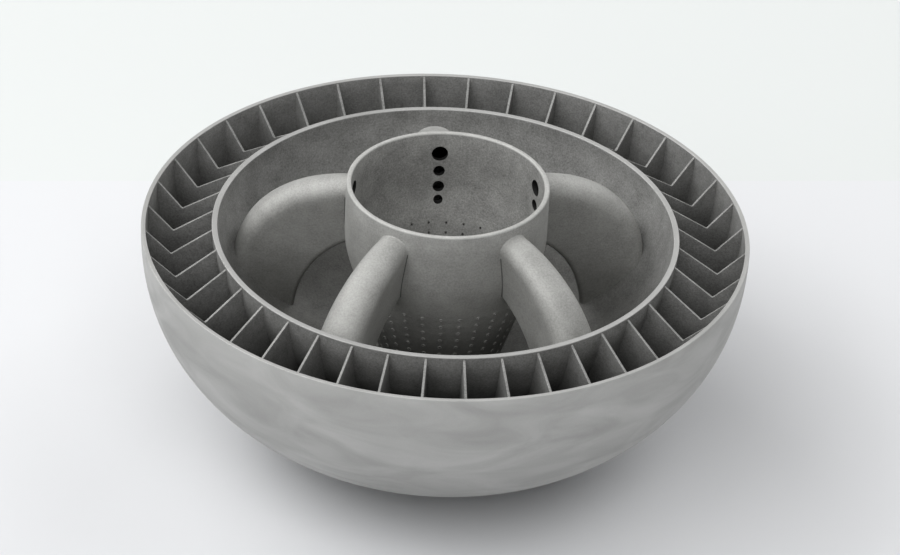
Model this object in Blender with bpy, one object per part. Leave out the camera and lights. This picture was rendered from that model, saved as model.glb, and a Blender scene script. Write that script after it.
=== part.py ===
"""A double-walled combustor bowl, made in one piece in metal: a finned annulus between
two bowls, and a tube in the middle held by five hollow arms.

Metres, +Z up. The origin is the middle of the flat foot that the bowl stands on. One arm
points along +Y. Profiles are in millimetres, with heights measured from the outer rim.
"""

import math

import bmesh
import bpy
from mathutils import Vector

MM = 0.001
SEGMENTS = 80
GAP = 0.3

# Outer shell: a bowl a little fuller than an ellipse, whose power would be 2
SHELL_R = 100.0
SHELL_DEPTH = 77.4
SHELL_POWER = 2.18
SHELL_WALL = 1.5
FOOT_Z = -76.6
SHELL_FLOOR_Z = -75.0

# Inner bowl: its inside profile from the rim to the middle, as radius and height
BOWL_RIM_Z = 0.4
BOWL_WALL = 1.9
BOWL_INSIDE = [
    (75.0, BOWL_RIM_Z), (74.6, -4.5), (73.3, -10.0), (71.6, -15.5), (69.1, -20.8),
    (65.2, -26.3), (60.8, -31.5), (56.2, -36.0), (51.0, -39.8), (43.0, -43.0),
    (32.0, -45.2), (16.0, -46.6),
]

# Fins
FIN_COUNT = 40
FIN_T = 0.82
NOTCH_R = 90.0
NOTCH_Z = -9.3
NOTCH_FLAT = 0.3
FIN_INNER_END_Z = -36.0
FIN_OUTER_END_Z = -44.0

# Tube in the middle
TUBE_WALL = 1.7
TUBE_OUTSIDE = [
    (33.3, 17.3), (33.3, 0.0), (33.05, -4.0), (32.3, -8.0), (31.2, -12.0), (20.6, -45.4),
]
NECK_POINTS = 5
ARM_HOLES = [(9.3, 5.5), (2.6, 3.9), (-3.3, 3.9), (-8.0, 3.2)]
ARM_HOLE_SIDES = 16
FINE_HOLE_SIDES = 8
CUTTER_REACH = 3.0
FINE_HOLE_D = 1.0
FINE_HOLE_ROWS = (-16.3, -19.6)
FINE_HOLE_COLUMNS = (-30.0, -18.0, -6.0, 6.0, 18.0, 30.0)

# Arms: the ridge and the underside are arcs of ellipses in the arm's upright plane, each
# given by its middle, its half-axes and the degrees from the top where it starts and ends.
# Half-widths are given at the start and at the end.
ARM_COUNT = 5
ARM_WALL = 1.0
ARM_STATIONS = 9
RIDGE_CENTRE, RIDGE_AXES, RIDGE_TURN = (25.5, -22.0), (45.8, 36.3), (-15.0, 115.0)
UNDER_CENTRE, UNDER_AXES, UNDER_TURN = (14.8, -43.3), (36.1, 37.6), (10.0, 106.0)
RIDGE_HALF_W = (4.5, 9.3)
RIDGE_BULGE = 0.71
RIDGE_PARTS = 8
UNDER_HALF_W = (3.4, 1.45)
UNDER_SOFT_EDGE = 1.2
SIDE_PARTS = 3
ROOM_SEARCH_STEPS = 40


def clear_scene():
    for obj in list(bpy.data.objects):
        bpy.data.objects.remove(obj)


def metal(name, colour, roughness):
    material = bpy.data.materials.new(name)
    material.use_nodes = True
    shader = material.node_tree.nodes["Principled BSDF"]
    shader.inputs["Base Color"].default_value = (*colour, 1.0)
    shader.inputs["Roughness"].default_value = roughness
    shader.inputs["Metallic"].default_value = 1.0
    return material


def add_object(name, mesh_data, colour=(0.56, 0.56, 0.54), roughness=0.5):
    """Makes an object of a bmesh given in millimetres."""
    bmesh.ops.recalc_face_normals(mesh_data, faces=mesh_data.faces)
    bmesh.ops.scale(mesh_data, vec=(MM, MM, MM), verts=mesh_data.verts)
    mesh = bpy.data.meshes.new(name)
    mesh_data.to_mesh(mesh)
    mesh_data.free()
    obj = bpy.data.objects.new(name, mesh)
    obj.location.z = -FOOT_Z * MM
    bpy.context.scene.collection.objects.link(obj)
    mesh.materials.append(metal(name + "_metal", colour, roughness))
    mesh.shade_smooth()
    mesh.set_sharp_from_angle(angle=math.radians(35))
    return obj


def as_cutter(obj):
    obj.hide_render = True
    obj.display_type = "WIRE"
    return obj


def apply_boolean(obj, other, operation):
    modifier = obj.modifiers.new(operation.lower(), "BOOLEAN")
    modifier.operation = operation
    modifier.solver = "EXACT"
    modifier.object = other


def lathe(profile, steps=SEGMENTS):
    """Turns a profile of (radius, height) about the Z axis. It ends on the axis or is closed."""
    turned = bmesh.new()
    rings = []
    for r, z in profile:
        if r == 0.0:
            rings.append([turned.verts.new((0.0, 0.0, z))] * steps)
            continue
        turns = [math.tau * i / steps for i in range(steps)]
        rings.append([turned.verts.new((r * math.cos(t), r * math.sin(t), z)) for t in turns])
    bands = list(zip(rings, rings[1:]))
    if profile[0][0] > 0:
        bands.append((rings[-1], rings[0]))
    for upper, lower in bands:
        for i in range(steps):
            j = (i + 1) % steps
            corners = dict.fromkeys((upper[i], upper[j], lower[j], lower[i]))
            turned.faces.new(list(corners))
    return turned


def shell_points(r, depth, floor_z, count):
    """Points down the shell's bowl shape, for this rim radius and depth, cut flat at floor_z."""
    last = math.asin((-floor_z / depth) ** (SHELL_POWER / 2))
    share = 2 / SHELL_POWER
    turns = [last * i / (count - 1) for i in range(count)]
    return [(r * math.cos(t) ** share, -depth * math.sin(t) ** share) for t in turns]


def shell_inside_points(clearance=0.0, count=9):
    return shell_points(
        SHELL_R - SHELL_WALL - clearance, SHELL_DEPTH - SHELL_WALL - clearance,
        SHELL_FLOOR_Z + clearance, count,
    )


def offset_outwards(points, distance):
    """The profile moved out, away from the bowl's inside, by this distance."""
    moved = []
    for i, (r, z) in enumerate(points):
        r0, z0 = points[max(i - 1, 0)]
        r1, z1 = points[min(i + 1, len(points) - 1)]
        length = math.hypot(r1 - r0, z1 - z0)
        moved.append((r - (z1 - z0) / length * distance, z + (r1 - r0) / length * distance))
    return moved


def bowl_outside_points(clearance=0.0):
    points = offset_outwards(BOWL_INSIDE, BOWL_WALL + clearance)
    points[0] = (points[0][0], BOWL_RIM_Z)
    return points


def make_outer_shell():
    outside = shell_points(SHELL_R, SHELL_DEPTH, FOOT_Z, 10)
    inside = shell_inside_points()
    profile = [(0.0, FOOT_Z)] + outside[::-1] + inside + [(0.0, SHELL_FLOOR_Z)]
    return add_object("outer_shell", lathe(profile))


def make_inner_bowl():
    outside = bowl_outside_points()
    floor_z = BOWL_INSIDE[-1][1]
    profile = [(0.0, floor_z)] + BOWL_INSIDE[::-1] + outside + [(0.0, outside[-1][1])]
    return add_object("inner_bowl", lathe(profile))


def make_fins():
    outer_edge = shell_inside_points(GAP)
    inner_edge = bowl_outside_points(GAP)
    outer_end = (profile_radius(outer_edge, FIN_OUTER_END_Z), FIN_OUTER_END_Z)
    inner_end = (profile_radius(inner_edge, FIN_INNER_END_Z), FIN_INNER_END_Z)
    inner_edge[0] = (inner_edge[0][0], 0.0)
    down = [p for p in outer_edge if p[1] > FIN_OUTER_END_Z] + [outer_end]
    up = ([p for p in inner_edge if p[1] > FIN_INNER_END_Z] + [inner_end])[::-1]
    notch = [(NOTCH_R - NOTCH_FLAT, NOTCH_Z), (NOTCH_R + NOTCH_FLAT, NOTCH_Z)]
    outline = down + up + notch
    for number in range(FIN_COUNT):
        plate = bmesh.new()
        for side in (-FIN_T / 2, FIN_T / 2):
            plate.faces.new([plate.verts.new((r, side, z)) for r, z in outline])
        near, far = list(plate.faces)
        for i in range(len(outline)):
            j = (i + 1) % len(outline)
            plate.faces.new((near.verts[i], near.verts[j], far.verts[j], far.verts[i]))
        fin = add_object("fin_%02d" % (number + 1), plate)
        fin.rotation_euler.z = math.tau * number / FIN_COUNT


def round_cutter(name, diameter, angle, z, sides):
    """A bar across the tube's wall at this angle and height, pointing along the radius."""
    last_r = tube_radius(z) + CUTTER_REACH
    first_r = last_r - TUBE_WALL - 2 * CUTTER_REACH
    bar = bmesh.new()
    bmesh.ops.create_cone(
        bar, cap_ends=True, segments=sides, radius1=diameter / 2, radius2=diameter / 2,
        depth=last_r - first_r,
    )
    turn = Vector((0, 0, 1)).rotation_difference(Vector((1, 0, 0))).to_matrix().to_4x4()
    bmesh.ops.transform(bar, matrix=turn, verts=bar.verts)
    bmesh.ops.translate(bar, vec=((first_r + last_r) / 2, 0, z), verts=bar.verts)
    obj = as_cutter(add_object(name, bar))
    obj.rotation_euler.z = angle
    return obj


def joined_cutters(name, cutters):
    """One cutter that holds several which don't touch."""
    joined = bmesh.new()
    for cutter in cutters:
        piece = bmesh.new()
        piece.from_mesh(cutter.data)
        turn = cutter.matrix_basis.to_3x3().to_4x4()
        bmesh.ops.transform(piece, matrix=turn, verts=piece.verts)
        loose = bpy.data.meshes.new("loose")
        piece.to_mesh(loose)
        piece.free()
        joined.from_mesh(loose)
        bpy.data.meshes.remove(loose)
        bpy.data.objects.remove(cutter)
    bmesh.ops.scale(joined, vec=(1 / MM, 1 / MM, 1 / MM), verts=joined.verts)
    return as_cutter(add_object(name, joined))


def tube_radius(z):
    return profile_radius(TUBE_OUTSIDE, z)


def tube_wall(points):
    """A closed profile of the tube's wall along these points of its outside."""
    return points + [(r - TUBE_WALL, z) for r, z in points[::-1]]


def make_neck_tube():
    split_r, split_z = TUBE_OUTSIDE[NECK_POINTS - 1]
    outside = TUBE_OUTSIDE[:NECK_POINTS - 1] + [(split_r, split_z + GAP / 2)]
    tube = add_object("neck_tube", lathe(tube_wall(outside)))
    cutters = []
    for arm in range(ARM_COUNT):
        for z, diameter in ARM_HOLES:
            cutters.append(round_cutter("hole", diameter, arm_angle(arm), z, ARM_HOLE_SIDES))
    apply_boolean(tube, joined_cutters("neck_holes", cutters), "DIFFERENCE")


def make_perforated_cone():
    split_r, split_z = TUBE_OUTSIDE[NECK_POINTS - 1]
    outside = [(split_r, split_z - GAP / 2)] + TUBE_OUTSIDE[NECK_POINTS:]
    cone = add_object("perforated_cone", lathe(tube_wall(outside)))
    cutters = []
    front = -math.pi / 2
    for z in FINE_HOLE_ROWS:
        for degrees in FINE_HOLE_COLUMNS:
            angle = front + math.radians(degrees)
            cutters.append(round_cutter("hole", FINE_HOLE_D, angle, z, FINE_HOLE_SIDES))
    apply_boolean(cone, joined_cutters("cone_holes", cutters), "DIFFERENCE")


def arm_angle(number):
    return math.pi / 2 + math.tau * number / ARM_COUNT


def between(pair, share):
    return pair[0] + (pair[1] - pair[0]) * share


def arc_point(centre, axes, turn, share):
    angle = math.radians(between(turn, share))
    return Vector((
        centre[0] + axes[0] * math.sin(angle), 0.0, centre[1] + axes[1] * math.cos(angle)))


def arm_section(share, inset):
    """One closed ring of the arm: a wide round ridge, and sides that lean in to the underside."""
    top = arc_point(RIDGE_CENTRE, RIDGE_AXES, RIDGE_TURN, share)
    under = arc_point(UNDER_CENTRE, UNDER_AXES, UNDER_TURN, share)
    up, side = (top - under).normalized(), Vector((0, 1, 0))
    half = between(RIDGE_HALF_W, share)
    bulge = half * RIDGE_BULGE
    middle = top - up * bulge
    half, bulge = half - inset, bulge - inset
    points = []
    for i in range(RIDGE_PARTS + 1):
        turn = math.pi * i / RIDGE_PARTS
        points.append(middle + half * math.cos(turn) * side + bulge * math.sin(turn) * up)
    foot_half = between(UNDER_HALF_W, share) - inset
    soft = min(UNDER_SOFT_EDGE, foot_half / 2)
    foot = under + up * inset
    for sign in (-1, 1):
        corner = foot + side * sign * foot_half + up * soft
        widest = middle + side * sign * half
        wall = [corner.lerp(widest, i / SIDE_PARTS) for i in range(SIDE_PARTS - 1, -1, -1)]
        wall.append(foot + side * sign * (foot_half - soft))
        points += wall[::-sign]
    return points


def profile_radius(points, z):
    """The radius at a height of a profile given from the top down."""
    for (r0, z0), (r1, z1) in zip(points, points[1:]):
        if z1 <= z <= z0:
            return r0 + (r1 - r0) * (z - z0) / (z1 - z0)
    return points[0][0] if z > points[0][1] else points[-1][0]


def crossing(point_at, room, low, high):
    """The share of the arm's length at which one of its long lines leaves the room it fills."""
    started = room(point_at(low)) > 0
    for _ in range(ROOM_SEARCH_STEPS):
        middle = (low + high) / 2
        if (room(point_at(middle)) > 0) == started:
            low = middle
        else:
            high = middle
    return (low + high) / 2


def outside_tube(point):
    r, z = math.hypot(point.x, point.y), point.z
    return r - tube_radius(z) - GAP


def inside_bowl(point):
    profile = offset_outwards(BOWL_INSIDE, -GAP)
    return profile_radius(profile, point.z) - math.hypot(point.x, point.y)


def arm_mesh():
    """The hollow arm, each of its long lines ending just short of the tube and of the bowl."""
    tube = bmesh.new()
    count = len(arm_section(0.5, 0.0))
    skins = []
    for inset in (0.0, ARM_WALL):
        lines = []
        for i in range(count):
            def point_at(share):
                return arm_section(share, inset)[i]

            first = crossing(point_at, outside_tube, 0.0, 0.5)
            last = crossing(point_at, inside_bowl, 0.5, 1.0)
            shares = [first + (last - first) * n / (ARM_STATIONS - 1) for n in range(ARM_STATIONS)]
            lines.append([tube.verts.new(point_at(share)) for share in shares])
        skins.append(lines)
    for lines in skins:
        for i in range(count):
            here, beside = lines[i], lines[(i + 1) % count]
            for n in range(ARM_STATIONS - 1):
                tube.faces.new((here[n], here[n + 1], beside[n + 1], beside[n]))
    outer, inner = skins
    for i in range(count):
        j = (i + 1) % count
        for n in (0, -1):
            tube.faces.new((outer[i][n], outer[j][n], inner[j][n], inner[i][n]))
    return tube


def make_arms():
    for number in range(ARM_COUNT):
        arm = add_object("arm_%d" % (number + 1), arm_mesh())
        arm.rotation_euler.z = arm_angle(number)


clear_scene()
make_outer_shell()
make_inner_bowl()
make_fins()
make_neck_tube()
make_perforated_cone()
make_arms()
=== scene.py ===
import math

import bmesh
import bpy
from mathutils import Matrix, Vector


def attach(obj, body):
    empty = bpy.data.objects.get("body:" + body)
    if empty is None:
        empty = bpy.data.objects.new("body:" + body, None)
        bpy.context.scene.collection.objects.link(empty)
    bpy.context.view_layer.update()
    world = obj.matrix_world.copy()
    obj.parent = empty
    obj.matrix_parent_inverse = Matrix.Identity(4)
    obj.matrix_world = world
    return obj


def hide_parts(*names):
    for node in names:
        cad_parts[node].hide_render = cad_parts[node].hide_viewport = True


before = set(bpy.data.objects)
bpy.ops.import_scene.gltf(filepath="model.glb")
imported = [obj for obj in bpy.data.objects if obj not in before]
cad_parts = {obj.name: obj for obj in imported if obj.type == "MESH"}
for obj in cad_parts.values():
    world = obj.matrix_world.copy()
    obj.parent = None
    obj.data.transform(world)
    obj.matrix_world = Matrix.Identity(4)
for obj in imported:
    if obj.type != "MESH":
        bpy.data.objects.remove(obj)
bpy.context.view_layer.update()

# Outer bowl wall: the round-bottomed outer skin. It is nickel alloy powder melted layer by
# layer, about 1.5 mm thick, and its outside was blasted by hand, which left faint smears.
# Sizes here and below are in millimetres, and heights are measured up from the outer rim.
MM = 0.001
RIM_HEIGHT = 76.6
TURN_STEPS = 240
EDGE_R = 0.25
EDGE_PARTS = 3
SHARP_ANGLE = 40.0
SHELL_R = 100.0
SHELL_DEPTH = 77.4
SHELL_POWER = 2.18
SHELL_WALL = 1.5
SHELL_FOOT = -RIM_HEIGHT
SHELL_FLOOR = -75.0
SHELL_RINGS = 40
SKIN_DARK, SKIN_LIGHT = "9b9b99", "b1b1af"
METAL_SHARE = 0.4
SMEAR_SIZE = (34.0, 34.0, 13.0)
SMEAR_LEVEL = (-0.1, 0.85)
SKIN_ROUGHNESS = (0.62, 0.5)
GRAIN_SIZE, GRAIN_DEPTH, GRAIN_SHARE = 0.5, 0.06, 0.3
NOISE_SPAN = (0.3, 0.7)


def linear(hex_value):
    """An sRGB hex colour as linear RGBA."""
    parts = [int(hex_value[i:i + 2], 16) / 255 for i in (0, 2, 4)]
    return tuple(p / 12.92 if p <= 0.04045 else ((p + 0.055) / 1.055) ** 2.4 for p in parts) + (1.0,)


def add_node(tree, kind, links=(), **settings):
    """Adds a node, sets its properties or sockets by name, and links what feeds it."""
    node = tree.nodes.new(kind)
    for name, value in settings.items():
        if hasattr(node, name):
            setattr(node, name, value)
        else:
            node.inputs[name.replace("_", " ")].default_value = value
    for socket, source in links:
        tree.links.new(source, node.inputs[socket])
    return node


def turned(profile, steps=TURN_STEPS):
    """A closed or axis-to-axis profile of (radius, height) in millimetres, turned about Z."""
    mesh = bmesh.new()
    rings = []
    for r, z in profile:
        if r == 0:
            rings.append([mesh.verts.new((0, 0, z))] * steps)
            continue
        turns = [math.tau * i / steps for i in range(steps)]
        rings.append([mesh.verts.new((r * math.cos(t), r * math.sin(t), z)) for t in turns])
    bands = list(zip(rings, rings[1:]))
    if profile[0][0] > 0:
        bands.append((rings[-1], rings[0]))
    for upper, lower in bands:
        for i in range(steps):
            j = (i + 1) % steps
            mesh.faces.new(list(dict.fromkeys((upper[i], upper[j], lower[j], lower[i]))))
    return mesh


def add_object(name, mesh):
    """Makes an object of a mesh in millimetres whose heights are measured from the outer rim."""
    bmesh.ops.recalc_face_normals(mesh, faces=mesh.faces)
    bmesh.ops.translate(mesh, vec=(0, 0, RIM_HEIGHT), verts=mesh.verts)
    bmesh.ops.scale(mesh, vec=(MM, MM, MM), verts=mesh.verts)
    data = bpy.data.meshes.new(name)
    mesh.to_mesh(data)
    mesh.free()
    obj = bpy.data.objects.new(name, data)
    bpy.context.scene.collection.objects.link(obj)
    return obj


def dress(obj, nodes, finishes, finish_of=None, sharp=SHARP_ANGLE):
    """Gives a piece its finishes and shading, and puts it in place of its CAD nodes.

    finish_of picks a face's finish from its middle, its normal, and how far that normal
    points away from the axis.
    """
    for finish in finishes:
        obj.data.materials.append(finish)
    if finish_of:
        for face in obj.data.polygons:
            centre = face.center / MM - Vector((0, 0, RIM_HEIGHT))
            out = Vector((centre.x, centre.y, 0)).normalized()
            face.material_index = finish_of(centre, face.normal, face.normal.dot(out))
    obj.data.shade_smooth()
    obj.data.set_sharp_from_angle(angle=math.radians(sharp))
    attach(obj, "root")
    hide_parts(*nodes)


def bowl_arc(r, depth, floor_z, count):
    """Points down a bowl a little fuller than an ellipse, from its rim to where a flat cuts it."""
    last = math.asin((-floor_z / depth) ** (SHELL_POWER / 2))
    turns = [last * i / count for i in range(count + 1)]
    return [(r * math.cos(t) ** (2 / SHELL_POWER), -depth * math.sin(t) ** (2 / SHELL_POWER))
            for t in turns]


def rim_round(outer_r, inner_r, z, edge=EDGE_R):
    """The top of a wall's profile, from outside to inside, with softly rounded edges."""
    points = []
    for centre, first in ((outer_r - edge, 0.0), (inner_r + edge, 90.0)):
        for i in range(EDGE_PARTS + 1):
            turn = math.radians(first + 90.0 * i / EDGE_PARTS)
            points.append((centre + edge * math.cos(turn), z - edge + edge * math.sin(turn)))
    return points


# Hand-blasted nickel alloy: matt grey, with smears about 30 mm long and a fine grain. The real
# grain is about 0.05 mm and wouldn't show, so it is drawn at 0.5 mm. The rough skin scatters
# light like a dull paint, so it isn't fully metallic.
blasted_skin = bpy.data.materials.new("hand_blasted_nickel_alloy")
blasted_skin.use_nodes = True
tree = blasted_skin.node_tree
shader = tree.nodes["Principled BSDF"]
shader.inputs["Metallic"].default_value = METAL_SHARE
place = add_node(tree, "ShaderNodeTexCoord").outputs["Object"]
strokes = add_node(tree, "ShaderNodeMapping", [("Vector", place)],
                   Scale=[1 / (size * MM) for size in SMEAR_SIZE])
smear = add_node(tree, "ShaderNodeTexNoise", [("Vector", strokes.outputs["Vector"])], Scale=1.0,
                 Detail=5.0, Roughness=0.5, Distortion=1.1)
grain = add_node(tree, "ShaderNodeTexNoise", [("Vector", place)], Scale=1 / (GRAIN_SIZE * MM),
                 Detail=2.0, Roughness=0.6)
level = add_node(tree, "ShaderNodeMapRange", [("Value", smear.outputs["Fac"])],
                 From_Min=NOISE_SPAN[0], From_Max=NOISE_SPAN[1],
                 To_Min=SMEAR_LEVEL[0], To_Max=SMEAR_LEVEL[1])
speck = add_node(tree, "ShaderNodeMath", [(0, grain.outputs["Fac"]), (2, level.outputs["Result"])],
                 operation="MULTIPLY_ADD")
speck.inputs[1].default_value = GRAIN_SHARE
tone = add_node(tree, "ShaderNodeMix", [("Factor", speck.outputs[0])], data_type="RGBA")
tone.inputs["A"].default_value = linear(SKIN_DARK)
tone.inputs["B"].default_value = linear(SKIN_LIGHT)
tree.links.new(tone.outputs["Result"], shader.inputs["Base Color"])
polish = add_node(tree, "ShaderNodeMapRange", [("Value", smear.outputs["Fac"])],
                  From_Min=NOISE_SPAN[0], From_Max=NOISE_SPAN[1],
                  To_Min=SKIN_ROUGHNESS[0], To_Max=SKIN_ROUGHNESS[1])
tree.links.new(polish.outputs["Result"], shader.inputs["Roughness"])
bump = add_node(tree, "ShaderNodeBump", [("Height", grain.outputs["Fac"])],
                Strength=0.3, Distance=GRAIN_DEPTH * MM)
tree.links.new(bump.outputs["Normal"], shader.inputs["Normal"])

# Nickel alloy as it was printed: cloudy over about 8 mm, with a coarse grain and faint flat
# layers. The real grain and layers are about 0.05 mm, and are drawn at 0.6 and 0.4 mm to show.
PRINT_CLOUD, PRINT_GRAIN, PRINT_DEPTH = 8.0, 0.6, 0.12
LAYER_SIZE = (5.0, 5.0, 0.4)
LAYER_SHARE, CLOUD_SHARE = 0.12, 0.6
TONE_SPAN = 0.3
PRINT_ROUGHNESS = (0.55, 0.72)
BOWL_REACH, CHANNEL_REACH = (-10.0, -38.0), (2.0, -30.0)
CHANNEL_DARK, CHANNEL_LIGHT, CHANNEL_DEEP_SHADE = "6e6e6c", "a6a6a4", "8a8a88"


def printed_finish(name, dark, light, deep_shade, grain_depth, reach=BOWL_REACH):
    """Grainy alloy between two tones, darkened lower down by the third as painted shade, from one
    height to another.
    """
    finish = bpy.data.materials.new(name)
    finish.use_nodes = True
    tree = finish.node_tree
    shader = tree.nodes["Principled BSDF"]
    shader.inputs["Metallic"].default_value = METAL_SHARE
    place = add_node(tree, "ShaderNodeTexCoord").outputs["Object"]
    cloud = add_node(tree, "ShaderNodeTexNoise", [("Vector", place)],
                     Scale=1 / (PRINT_CLOUD * MM), Detail=4.0, Roughness=0.6)
    grain = add_node(tree, "ShaderNodeTexNoise", [("Vector", place)],
                     Scale=1 / (PRINT_GRAIN * MM), Detail=3.0, Roughness=0.65)
    thin = add_node(tree, "ShaderNodeMapping", [("Vector", place)],
                    Scale=[1 / (size * MM) for size in LAYER_SIZE])
    layers = add_node(tree, "ShaderNodeTexNoise", [("Vector", thin.outputs["Vector"])],
                      Scale=1.0, Detail=2.0, Roughness=0.5)
    rough = add_node(tree, "ShaderNodeMath", [(0, layers.outputs["Fac"]),
                                              (2, grain.outputs["Fac"])], operation="MULTIPLY_ADD")
    rough.inputs[1].default_value = LAYER_SHARE
    mixed = add_node(tree, "ShaderNodeMath", [(0, cloud.outputs["Fac"]), (2, rough.outputs[0])],
                     operation="MULTIPLY_ADD")
    mixed.inputs[1].default_value = CLOUD_SHARE
    middle = (1 + LAYER_SHARE + CLOUD_SHARE) / 2
    level = add_node(tree, "ShaderNodeMapRange", [("Value", mixed.outputs[0])],
                     From_Min=middle - TONE_SPAN, From_Max=middle + TONE_SPAN)
    tone = add_node(tree, "ShaderNodeMix", [("Factor", level.outputs["Result"])],
                    data_type="RGBA")
    tone.inputs["A"].default_value = linear(dark)
    tone.inputs["B"].default_value = linear(light)
    # Painted shade: below the reach's first height the colour is darkened by the deep shade colour,
    # fully at its second height, as shade falls lower in the hollows.
    height = add_node(tree, "ShaderNodeSeparateXYZ", [("Vector", place)])
    depth = add_node(tree, "ShaderNodeMapRange", [("Value", height.outputs["Z"])],
                     interpolation_type="SMOOTHSTEP", From_Min=(RIM_HEIGHT + reach[0]) * MM,
                     From_Max=(RIM_HEIGHT + reach[1]) * MM)
    shaded = add_node(tree, "ShaderNodeMix", [("Factor", depth.outputs["Result"]),
                                              ("A", tone.outputs["Result"])],
                      data_type="RGBA", blend_type="MULTIPLY")
    shaded.inputs["B"].default_value = linear(deep_shade)
    tree.links.new(shaded.outputs["Result"], shader.inputs["Base Color"])
    polish = add_node(tree, "ShaderNodeMapRange", [("Value", grain.outputs["Fac"])],
                      From_Min=NOISE_SPAN[0], From_Max=NOISE_SPAN[1],
                      To_Min=PRINT_ROUGHNESS[0], To_Max=PRINT_ROUGHNESS[1])
    tree.links.new(polish.outputs["Result"], shader.inputs["Roughness"])
    bump = add_node(tree, "ShaderNodeBump", [("Height", grain.outputs["Fac"])],
                    Strength=0.7, Distance=grain_depth * MM)
    tree.links.new(bump.outputs["Normal"], shader.inputs["Normal"])
    return finish


def shell_side(centre, normal, out):
    """Blasted outside and on the rim, as printed inside."""
    return int(out < 0 and centre.z < -EDGE_R)


# The channels between the bowls can't be blasted, so their walls stay dull as printed, and a strong
# painted shade darkens them downwards.
channel_finish = printed_finish("nickel_alloy_as_printed_with_painted_shade_in_channels", CHANNEL_DARK,
                                CHANNEL_LIGHT, CHANNEL_DEEP_SHADE, PRINT_DEPTH, CHANNEL_REACH)
outside = bowl_arc(SHELL_R, SHELL_DEPTH, SHELL_FOOT, SHELL_RINGS)[1:]
inside = bowl_arc(SHELL_R - SHELL_WALL, SHELL_DEPTH - SHELL_WALL, SHELL_FLOOR, SHELL_RINGS)[1:]
shell = turned([(0, SHELL_FOOT)] + outside[::-1]
               + rim_round(SHELL_R, SHELL_R - SHELL_WALL, 0.0) + inside + [(0, SHELL_FLOOR)])
dress(add_object("outer_bowl_wall", shell), ["outer_shell"], [blasted_skin, channel_finish],
      shell_side)

# Inner bowl: a second, shallower bowl inside the first, its rim 0.4 mm above the outer one. It
# is the same alloy, made in the same run, and the air passes down between the two.
BOWL_WALL = 1.9
BOWL_RIM = 0.4
BOWL_INSIDE = [
    (75.0, BOWL_RIM), (74.6, -4.5), (73.3, -10.0), (71.6, -15.5), (69.1, -20.8),
    (65.2, -26.3), (60.8, -31.5), (56.2, -36.0), (51.0, -39.8), (43.0, -43.0),
    (32.0, -45.2), (16.0, -46.6),
]
CURVE_PARTS = 5
BOWL_DARK, BOWL_LIGHT, BOWL_DEEP_SHADE = "6c6c6a", "a8a8a6", "c8c8c6"


def smooth_line(points, parts=CURVE_PARTS):
    """A smooth curve through the points, with each span cut into parts."""
    line = []
    for i in range(len(points) - 1):
        p0 = points[max(i - 1, 0)]
        p1, p2 = points[i], points[i + 1]
        p3 = points[min(i + 2, len(points) - 1)]
        for n in range(parts):
            t = n / parts
            line.append(tuple(
                0.5 * (2 * b + (c - a) * t + (2 * a - 5 * b + 4 * c - d) * t ** 2
                       + (3 * b - 3 * c + d - a) * t ** 3)
                for a, b, c, d in zip(p0, p1, p2, p3)))
    return line + [points[-1]]


def moved_out(line, distance):
    """The same line moved sideways, away from the axis and down, by a distance."""
    out = []
    for i, (r, z) in enumerate(line):
        r0, z0 = line[max(i - 1, 0)]
        r1, z1 = line[min(i + 1, len(line) - 1)]
        length = math.hypot(r1 - r0, z1 - z0)
        out.append((r - (z1 - z0) / length * distance, z + (r1 - r0) / length * distance))
    return out


def bowl_side(centre, normal, out):
    """As printed inside and towards the channels, blasted on the rim."""
    if centre.z > BOWL_RIM - EDGE_R:
        return 2
    return int(normal.z < 0 or out > 0)


# The bowl's inside was left as printed too, but more light reaches it, so its painted shade lower
# down is lighter.
bowl_finish = printed_finish("nickel_alloy_as_printed_in_bowl", BOWL_DARK, BOWL_LIGHT, BOWL_DEEP_SHADE,
                             PRINT_DEPTH)
bowl_inner_line = smooth_line(BOWL_INSIDE)
bowl_outer_line = moved_out(bowl_inner_line, BOWL_WALL)
bowl = turned([(0, BOWL_INSIDE[-1][1])] + bowl_inner_line[:0:-1]
              + rim_round(bowl_outer_line[0][0], BOWL_INSIDE[0][0], BOWL_RIM)[::-1]
              + bowl_outer_line[1:] + [(0, bowl_outer_line[-1][1])])
dress(add_object("inner_bowl_wall", bowl), ["inner_bowl"],
      [bowl_finish, channel_finish, blasted_skin], bowl_side)

# Fins: forty thin upright plates that join the two bowls and carry heat between the air streams.
# Each is about 0.8 mm thick and grown in one with the bowls, and its top dips in a sharp V.
FIN_COUNT = 40
FIN_T = 0.82
FIN_BITE = 0.2
FIN_EDGE = 0.1
NOTCH = [(89.8, -9.2), (90.2, -9.2)]
FIN_INNER_END = -36.0
FIN_OUTER_END = -44.0
FIN_SHARP_ANGLE = 30.0
FIN_TOP_SLOPE = 0.4
MITRE_LIMIT = 0.3

outer_edge = [(r, z) for r, z in moved_out(bowl_arc(
    SHELL_R - SHELL_WALL, SHELL_DEPTH - SHELL_WALL, SHELL_FLOOR, SHELL_RINGS), FIN_BITE)
    if z > FIN_OUTER_END]
inner_edge = [(r - FIN_BITE, z) for r, z in bowl_outer_line if FIN_INNER_END < z < 0]
fin_outline = ([(outer_edge[0][0], -EDGE_R)] + outer_edge[1:] + inner_edge[::-1]
               + [(inner_edge[0][0], -EDGE_R)] + NOTCH)


def shrunk(outline, distance):
    """The outline moved inwards all round, given clockwise from the top right."""
    out = []
    for i, (r, z) in enumerate(outline):
        r0, z0 = outline[i - 1]
        r1, z1 = outline[(i + 1) % len(outline)]
        a = Vector((r - r0, z - z0)).normalized()
        b = Vector((r1 - r, z1 - z)).normalized()
        inward = (Vector((a.y, -a.x)) + Vector((b.y, -b.x))).normalized()
        share = max(inward.dot(Vector((a.y, -a.x))), MITRE_LIMIT)
        out.append((r + inward.x * distance / share, z + inward.y * distance / share))
    return out


def fin_side(centre, normal, out):
    """The fin's top takes the open bowl's finish and its lighter painted shade, and its sides the
    channels' darker painted shade.
    """
    return int(normal.z > FIN_TOP_SLOPE)


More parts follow.
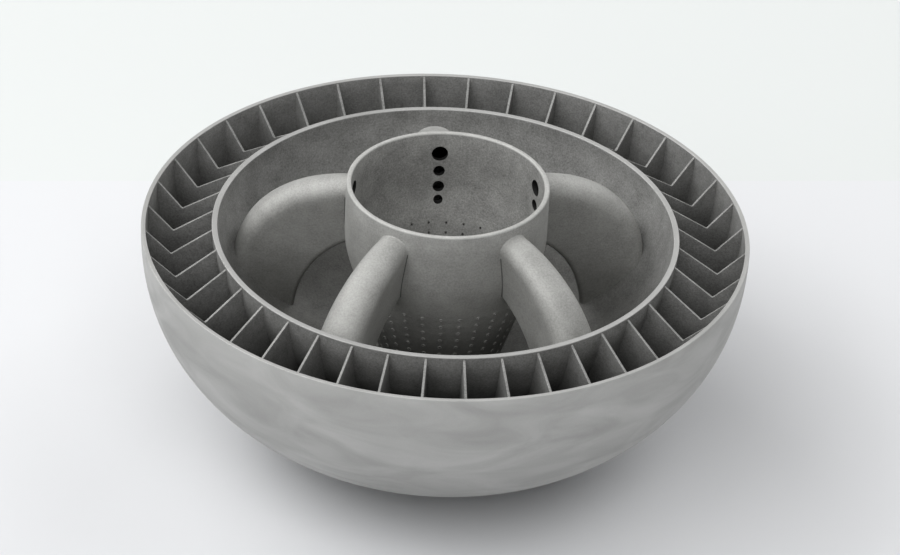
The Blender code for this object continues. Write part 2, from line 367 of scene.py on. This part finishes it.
fin_face = shrunk(fin_outline, FIN_EDGE)
for number in range(FIN_COUNT):
    plate = bmesh.new()
    turn = math.tau * number / FIN_COUNT
    loops = []
    for side, line in ((-FIN_T / 2, fin_face), (FIN_EDGE - FIN_T / 2, fin_outline),
                       (FIN_T / 2 - FIN_EDGE, fin_outline), (FIN_T / 2, fin_face)):
        loops.append([plate.verts.new((
            r * math.cos(turn) - side * math.sin(turn),
            r * math.sin(turn) + side * math.cos(turn), z)) for r, z in line])
    plate.faces.new(loops[0])
    plate.faces.new(loops[-1])
    for near, far in zip(loops, loops[1:]):
        for i in range(len(near)):
            j = (i + 1) % len(near)
            plate.faces.new((near[i], near[j], far[j], far[i]))
    name = "%02d" % (number + 1)
    dress(add_object("fin_plate_" + name, plate), ["fin_" + name],
          [channel_finish, bowl_finish], fin_side, FIN_SHARP_ANGLE)

# Neck: the plain upper part of the flame tube in the middle, a thin ring that curves in below.
# Five columns of four round holes are left open in it, each column leading into an arm.
TUBE_WALL = 1.7
TUBE_TOP = 17.3
TUBE_OUTSIDE = [
    (33.3, TUBE_TOP), (33.3, 0.0), (33.05, -4.0), (32.3, -8.0), (31.2, -12.0), (20.4, -46.1),
]
TUBE_EDGE_R = 0.6
NECK_CURVE = [
    (33.3, 8.0), (33.3, 0.0), (33.05, -4.0), (32.3, -8.0), (31.2, -12.0), (30.87, -13.0),
]
ARM_COUNT = 5
ARM_HOLES = [(9.3, 5.5), (2.6, 3.9), (-3.3, 3.9), (-8.0, 3.2)]
BLASTED_DARK, BLASTED_LIGHT, BLASTED_DEEP_SHADE = "8a8a87", "b2b2af", "bcbcba"
RIM_HIGHLIGHT_DARK, RIM_HIGHLIGHT_LIGHT = "a2a29f", "bebebb"
TUBE_DARK, TUBE_LIGHT = "747472", "b2b2af"
HOLE_SHADE = "242423"
ARM_HOLE_SIDES = 32
CUTTER_LENGTH = 6.0
HOLE_WALL_TURN = 0.9


def profile_radius(points, z):
    """The radius at a height of a profile given from the top down."""
    for (r0, z0), (r1, z1) in zip(points, points[1:]):
        if z1 <= z <= z0:
            return r0 + (r1 - r0) * (z - z0) / (z1 - z0)
    return points[0][0] if z > points[0][1] else points[-1][0]


# Blasted like the skin, but without smears: the outside of the tube and the arms.
blasted_finish = printed_finish("nickel_alloy_blasted_without_smears", BLASTED_DARK,
                                BLASTED_LIGHT, BLASTED_DEEP_SHADE, GRAIN_DEPTH)
# The tube's rim carries a painted highlight, and is the palest metal here.
rim_highlight = printed_finish("painted_highlight_on_tube_rim", RIM_HIGHLIGHT_DARK, RIM_HIGHLIGHT_LIGHT, BLASTED_DEEP_SHADE,
                            GRAIN_DEPTH)
# The tube's inside was left as printed, with a coarse grain.
inside_finish = printed_finish("nickel_alloy_as_printed_in_tube", TUBE_DARK, TUBE_LIGHT,
                               BOWL_DEEP_SHADE, PRINT_DEPTH)
# The walls of the holes and the arms' hollow inside: painted shade, dark, with one tone all over.
hole_shade = printed_finish("painted_shade_in_holes", HOLE_SHADE, HOLE_SHADE,
                             BOWL_DEEP_SHADE, PRINT_DEPTH)
neck_line = smooth_line(NECK_CURVE)
neck = turned(rim_round(TUBE_OUTSIDE[0][0], TUBE_OUTSIDE[0][0] - TUBE_WALL, TUBE_TOP,
                        TUBE_EDGE_R)[::-1]
              + neck_line + [(r - TUBE_WALL, z) for r, z in neck_line[::-1]])
neck_wall = add_object("neck_wall", neck)
bars = bmesh.new()
for arm in range(ARM_COUNT):
    turn = math.pi / 2 + math.tau * arm / ARM_COUNT
    out = Vector((math.cos(turn), math.sin(turn), 0))
    aim = Vector((0, 0, 1)).rotation_difference(out).to_matrix()
    for z, diameter in ARM_HOLES:
        made = bmesh.ops.create_cone(bars, cap_ends=True, segments=ARM_HOLE_SIDES,
                                     radius1=diameter / 2, radius2=diameter / 2,
                                     depth=CUTTER_LENGTH)
        bmesh.ops.rotate(bars, matrix=aim, verts=made["verts"])
        centre = out * (profile_radius(TUBE_OUTSIDE, z) - TUBE_WALL / 2)
        bmesh.ops.translate(bars, vec=(centre.x, centre.y, z), verts=made["verts"])
cutter = add_object("neck_hole_bars", bars)
cut = neck_wall.modifiers.new("holes", "BOOLEAN")
cut.operation, cut.solver, cut.object = "DIFFERENCE", "EXACT", cutter
with bpy.context.temp_override(object=neck_wall, active_object=neck_wall):
    bpy.ops.object.modifier_apply(modifier=cut.name)
bpy.data.objects.remove(cutter)


def neck_finish(centre, normal, out):
    """Blasted outside, as printed inside, painted shade in the holes, and a painted highlight on the
    rim.
    """
    if centre.z > TUBE_TOP - TUBE_EDGE_R:
        return 3
    if abs(out) < HOLE_WALL_TURN:
        return 2
    return int(out < 0)


dress(neck_wall, ["neck_tube"], [blasted_finish, inside_finish, hole_shade, rim_highlight],
      neck_finish)

# Perforated cone: the lower part of the flame tube, which narrows to the bowl's floor. Rows of
# fine holes, thirty to a turn, let air in through its wall; they are printed, not drilled.
HOLE_COLUMNS = 30
HOLE_ROWS = 9
TURN_KEYS = 100000
HEIGHT_KEYS = 1000
HOLE_PITCH = 3.35
HOLE_TOP = -16.9
HOLE_LEAN = 1.2
HOLE_D = 0.9
LIP_D = 1.5
LIP_H = 0.2
CELL_PARTS = 3
RING_START = 135.0
CONE_TOP, CONE_END = (30.93, -12.8), TUBE_OUTSIDE[-1]
CONE_DEEP_SHADE = "787876"
CONE_SHARP_ANGLE = 30.0

cone = bmesh.new()
cone_points = {}


def cone_point(turn, z, depth):
    """The point on the cone's wall there, depth millimetres in from its outside.

    Points that fall together are the same one, so that neighbouring cells are joined.
    """
    around = round(turn / math.tau * TURN_KEYS) % TURN_KEYS
    key = (around, round(z * HEIGHT_KEYS), depth)
    if key not in cone_points:
        r = profile_radius([CONE_TOP, CONE_END], z) - depth
        cone_points[key] = cone.verts.new((r * math.cos(turn), r * math.sin(turn), z))
    return cone_points[key]


cell = math.tau / HOLE_COLUMNS
levels = [CONE_TOP[1]]
levels += [HOLE_TOP + HOLE_PITCH * (0.5 - i) for i in range(HOLE_ROWS + 1)]
levels.append(CONE_END[1])
steps = [i / CELL_PARTS for i in range(CELL_PARTS + 1)]
ring_turns = [math.radians(RING_START - 360.0 * i / (4 * CELL_PARTS)) for i in range(4 * CELL_PARTS)]


def cell_border(left, high, low, depth):
    """The points round one cell of the wall, from its top left."""
    border = [(left + cell * t, high) for t in steps]
    border += [(left + cell, high + (low - high) * t) for t in steps[1:]]
    border += [(left + cell * (1 - t), low) for t in steps[1:]]
    border += [(left, low + (high - low) * t) for t in steps[1:-1]]
    return [cone_point(t, z, depth) for t, z in border]


def hole_ring(turn, z, ring_r, depth):
    """As many points as a cell's border has, in a ring round a hole's middle."""
    wall_r = profile_radius([CONE_TOP, CONE_END], z)
    return [cone_point(turn + ring_r / wall_r * math.cos(a), z + ring_r * math.sin(a), depth)
            for a in ring_turns]


def stitched(outer, inner, finish=0):
    """Faces between two rings of the same number of points."""
    for i in range(len(outer)):
        j = (i + 1) % len(outer)
        cone.faces.new((outer[i], outer[j], inner[j], inner[i])).material_index = finish


for column in range(HOLE_COLUMNS):
    left = cell * (column - 0.5)
    middle = left + cell / 2
    for row, (high, low) in enumerate(zip(levels, levels[1:])):
        holed = 0 < row <= HOLE_ROWS
        outer = cell_border(left, high, low, 0.0)
        if holed:
            lip_foot = hole_ring(middle, (high + low) / 2, LIP_D / 2, 0.0)
            lip_top = hole_ring(middle, (high + low) / 2, HOLE_D / 2, -LIP_H)
        high += HOLE_LEAN if row > 0 else 0
        low += HOLE_LEAN if row <= HOLE_ROWS else 0
        inner = cell_border(left, high, low, TUBE_WALL)
        if holed:
            hole_end = hole_ring(middle, (high + low) / 2, HOLE_D / 2, TUBE_WALL)
            stitched(outer, lip_foot)
            # The lips take the plain blasted finish, whose painted shade lower down is lighter than
            # the cone's, so they show as light specks.
            stitched(lip_foot, lip_top, 2)
            stitched(inner, hole_end, 1)
            stitched(lip_top, hole_end)
        else:
            cone.faces.new(outer).material_index = 0
            cone.faces.new(inner).material_index = 1
for z in (levels[0], levels[-1]):
    for i in range(HOLE_COLUMNS * CELL_PARTS):
        a, b = cell * (i / CELL_PARTS - 0.5), cell * ((i + 1) / CELL_PARTS - 0.5)
        cone.faces.new([cone_point(a, z, 0.0), cone_point(b, z, 0.0),
                        cone_point(b, z, TUBE_WALL), cone_point(a, z, TUBE_WALL)])
# Blasted like the tube's outside, with a darker painted shade near the bowl's floor.
cone_finish = printed_finish("nickel_alloy_blasted_cone_with_painted_shade", BLASTED_DARK, BLASTED_LIGHT,
                             CONE_DEEP_SHADE, PRINT_DEPTH)
dress(add_object("perforated_cone_wall", cone), ["perforated_cone"],
      [cone_finish, inside_finish, blasted_finish], sharp=CONE_SHARP_ANGLE)

# Arms: five hollow air ducts, each with a wide round ridge and sides that lean in to a narrow
# underside. Each springs from the neck just under its rim, arches out and runs down into the
# wall and floor of the inner bowl. They are grown in one with both.
ARM_WALL = 1.0
RIDGE_CENTRE, RIDGE_AXES, RIDGE_TURN = (25.5, -22.0), (45.8, 36.3), (-15.0, 115.0)
UNDER_CENTRE, UNDER_AXES, UNDER_TURN = (14.8, -43.3), (36.1, 37.6), (10.0, 106.0)
RIDGE_HALF_W = (4.5, 9.3)
RIDGE_BULGE = (0.95, 0.71)
RIDGE_PARTS = 24
RIDGE_SQUARE = (2.0, 2.5)
ROOT_DROP, ROOT_SHARE = 0.6, 0.2
UNDER_HALF_W = (3.4, 1.45)
UNDER_SOFT_EDGE, SOFT_LIMIT = 2.4, 0.9
SIDE_PARTS = 10
SOFT_PARTS = 4
ARM_STATIONS = 40
ARM_BITE = 0.15
FILLET_R = 0.6
FILLET_STEPS = [0.0, 0.03, 0.07, 0.13, 0.22, 0.33, 0.45, FILLET_R]
CREASE_SHADE_DARK, CREASE_SHADE_LIGHT = "5e5e5c", "767674"
SEARCH_STEPS = 40
ARM_SHARP_ANGLE = 50.0


def between(pair, share):
    """The value at a share of the way from the first of a pair to the second."""
    return pair[0] + (pair[1] - pair[0]) * share


def arc_point(centre, axes, turn, share):
    """The point at a share of the way along an arc of an ellipse, in the arm's middle plane."""
    angle = math.radians(between(turn, share))
    return Vector((centre[0] + axes[0] * math.sin(angle), 0, centre[1] + axes[1] * math.cos(angle)))


def arm_section(share, inset):
    """One closed ring of the arm, moved inwards by the inset."""
    top = arc_point(RIDGE_CENTRE, RIDGE_AXES, RIDGE_TURN, share)
    under = arc_point(UNDER_CENTRE, UNDER_AXES, UNDER_TURN, share)
    up, side = (top - under).normalized(), Vector((0, 1, 0))
    top -= up * ROOT_DROP * max(1 - share / ROOT_SHARE, 0)
    half = between(RIDGE_HALF_W, share)
    bulge = half * between(RIDGE_BULGE, share)
    square = between(RIDGE_SQUARE, share)
    middle = top - up * bulge
    half, bulge = half - inset, bulge - inset
    points = []
    for i in range(RIDGE_PARTS + 1):
        turn = math.pi * i / RIDGE_PARTS
        across = math.copysign(abs(math.cos(turn)) ** (2 / square), math.cos(turn))
        above = math.sin(turn) ** (2 / square) if 0 < i < RIDGE_PARTS else 0
        points.append(middle + half * across * side + bulge * above * up)
    foot_half = between(UNDER_HALF_W, share) - inset
    soft = min(UNDER_SOFT_EDGE, foot_half * SOFT_LIMIT)
    foot = under + up * inset
    for sign in (-1, 1):
        corner = foot + side * sign * foot_half + up * soft
        widest = middle + side * sign * half
        wall = [corner.lerp(widest, i / SIDE_PARTS) for i in range(SIDE_PARTS - 1, 0, -1)]
        for i in range(SOFT_PARTS + 1):
            turn = math.pi / 2 * i / SOFT_PARTS
            wall.append(corner + soft * (side * sign * (math.cos(turn) - 1) - up * math.sin(turn)))
        points += wall[::-sign]
    return points


def crossing(point_at, room, low, high):
    """The share of the arm's length at which one of its long lines leaves the room it fills."""
    started = room(point_at(low)) > 0
    for _ in range(SEARCH_STEPS):
        middle = (low + high) / 2
        if (room(point_at(middle)) > 0) == started:
            low = middle
        else:
            high = middle
    return (low + high) / 2


def from_tube(point):
    """How far the point stands out from just inside the tube's outside."""
    return math.hypot(point.x, point.y) - profile_radius(TUBE_OUTSIDE, point.z) + ARM_BITE


def inside_bowl(point):
    """How far the point stands in from just outside the inner bowl's inside."""
    return profile_radius(bowl_inner_line, point.z) + ARM_BITE - math.hypot(point.x, point.y)


def arm_line(i, inset):
    """The points of one of the arm's long lines, flared at the tube where it is an outer line."""
    points = []
    distances = FILLET_STEPS if inset == 0 else [0.0]
    for distance in distances:
        flare = 0
        if inset == 0:
            flare = FILLET_R - math.sqrt(FILLET_R ** 2 - (FILLET_R - distance) ** 2)
        share = crossing(lambda s: arm_section(s, inset - flare)[i],
                         lambda p: from_tube(p) - distance, 0.0, 0.5)
        points.append(arm_section(share, inset - flare)[i])
    last = crossing(lambda s: arm_section(s, inset)[i], inside_bowl, 0.5, 1.0)
    count = ARM_STATIONS + len(FILLET_STEPS) - len(distances)
    for n in range(1, count + 1):
        points.append(arm_section(share + (last - share) * n / count, inset)[i])
    return points


# Painted shade: the corners between the arms' sides and the tube are darkened, where shade falls.
crease_shade = printed_finish("painted_shade_in_arm_corners", CREASE_SHADE_DARK, CREASE_SHADE_LIGHT,
                               BOWL_DEEP_SHADE, PRINT_DEPTH)
arm_lines = [[arm_line(i, inset) for i in range(len(arm_section(0.5, 0.0)))]
             for inset in (0.0, ARM_WALL)]
for number in range(ARM_COUNT):
    duct = bmesh.new()
    skins = [[[duct.verts.new(p) for p in line] for line in skin] for skin in arm_lines]
    count = len(skins[0])
    for index, skin in enumerate(skins):
        for i in range(count):
            here, beside = skin[i], skin[(i + 1) % count]
            for n in range(len(here) - 1):
                face = duct.faces.new((here[n], here[n + 1], beside[n + 1], beside[n]))
                face.material_index = index
                # Painted shade: the inner skin and ends take the hole shade, and the sides and
                # underside next to the tube the crease shade.
                if index == 0 and i > RIDGE_PARTS and n < len(FILLET_STEPS) - 1:
                    face.material_index = 2
    for i in range(count):
        j = (i + 1) % count
        for n in (0, -1):
            end = duct.faces.new((skins[0][i][n], skins[0][j][n], skins[1][j][n], skins[1][i][n]))
            end.material_index = 1
    turn = math.pi / 2 + math.tau * number / ARM_COUNT
    aim = Vector((1, 0, 0)).rotation_difference(
        Vector((math.cos(turn), math.sin(turn), 0))).to_matrix()
    bmesh.ops.rotate(duct, matrix=aim, verts=duct.verts)
    name = "%d" % (number + 1)
    dress(add_object("arm_duct_" + name, duct), ["arm_" + name],
          [blasted_finish, hole_shade, crease_shade], sharp=ARM_SHARP_ANGLE)

# Floor: two sheets of matt white paper, side by side, that meet in a line behind the bowl. The
# far one is a little greener. Floor, lights and camera are placed in metres.
SHEET_SIZE = 6.0
SHEET_END = 0.1525
SHEET_TURN = -0.3
SHEET_ROUGHNESS = 0.9
for name, colour, near, far in (("floor_paper", "d2d3d5", -SHEET_SIZE, SHEET_END),
                                ("far_paper", "d0d3d2", SHEET_END, SHEET_SIZE)):
    paper = bpy.data.materials.new("matt_white_" + name)
    paper.use_nodes = True
    paper.node_tree.nodes["Principled BSDF"].inputs["Base Color"].default_value = linear(colour)
    paper.node_tree.nodes["Principled BSDF"].inputs["Roughness"].default_value = SHEET_ROUGHNESS
    sheet_mesh = bmesh.new()
    corners = [sheet_mesh.verts.new((x, y, 0)) for x, y in (
        (-SHEET_SIZE, near), (SHEET_SIZE, near), (SHEET_SIZE, far), (-SHEET_SIZE, far))]
    sheet_mesh.faces.new(corners)
    sheet_data = bpy.data.meshes.new(name)
    sheet_mesh.to_mesh(sheet_data)
    sheet_mesh.free()
    sheet = bpy.data.objects.new(name, sheet_data)
    bpy.context.scene.collection.objects.link(sheet)
    sheet.rotation_euler.z = math.radians(SHEET_TURN)
    sheet_data.materials.append(paper)

# Light: large soft boxes all round at 2 to 3 m, the strongest to the left and behind, in a
# faintly lit pale room. Each has a name, a place and a size in metres, and a power in watts.
LIGHTS = [
    ("key_box", (-1.28, -0.72, 2.38), (1.4, 1.4), 13.0),
    ("left_box", (-2.2, 0.2, 2.0), (1.8, 1.8), 35.0),
    ("overhead_box", (-0.6, 0.2, 2.8), (1.4, 1.4), 6.6),
    ("back_left_box", (-1.6, 1.6, 2.0), (1.8, 1.8), 30.0),
    ("back_right_box", (1.8, 1.8, 1.8), (2.4, 2.0), 33.0),
    ("right_box", (1.8, 0.0, 2.2), (1.8, 1.8), 7.5),
    ("front_box", (0.0, -1.8, 2.4), (1.8, 1.8), 27.0),
    ("front_low_box", (0.4, -3.2, 0.8), (2.8, 1.4), 7.2),
    ("low_right_box", (2.8, -0.8, 0.7), (1.8, 1.2), 4.3),
    ("front_left_box", (-1.8, -1.8, 1.8), (1.8, 1.8), 21.0),
]
ROOM_COLOUR, ROOM_STRENGTH = "ffffff", 0.18
AIM_AT = Vector((0, 0, 0.05))
world = bpy.data.worlds.new("pale_room")
bpy.context.scene.world = world
world.use_nodes = True
world.node_tree.nodes["Background"].inputs["Color"].default_value = linear(ROOM_COLOUR)
world.node_tree.nodes["Background"].inputs["Strength"].default_value = ROOM_STRENGTH
for name, place, size, watts in LIGHTS:
    lamp_data = bpy.data.lights.new(name, "AREA")
    lamp_data.shape = "RECTANGLE"
    lamp_data.size, lamp_data.size_y = size
    lamp_data.energy = watts
    lamp = bpy.data.objects.new(name, lamp_data)
    bpy.context.scene.collection.objects.link(lamp)
    lamp.location = place
    lamp.rotation_euler = (AIM_AT - Vector(place)).to_track_quat("-Z", "Y").to_euler()

# Camera: a long lens from the front and above, rolled a little, as in the photograph.
SENSOR_WIDTH, LENS = 36.0, 179.93
CAMERA_PLACE = (-0.12919, -1.24207, 0.86786)
CAMERA_TURN = (56.9777, -2.5391, -4.3908)
camera_data = bpy.data.cameras.new("camera")
camera_data.sensor_width = SENSOR_WIDTH
camera_data.lens = LENS
camera = bpy.data.objects.new("camera", camera_data)
bpy.context.scene.collection.objects.link(camera)
camera.location = CAMERA_PLACE
camera.rotation_euler = [math.radians(a) for a in CAMERA_TURN]
bpy.context.scene.camera = camera
bpy.context.scene.view_settings.view_transform = "Standard"
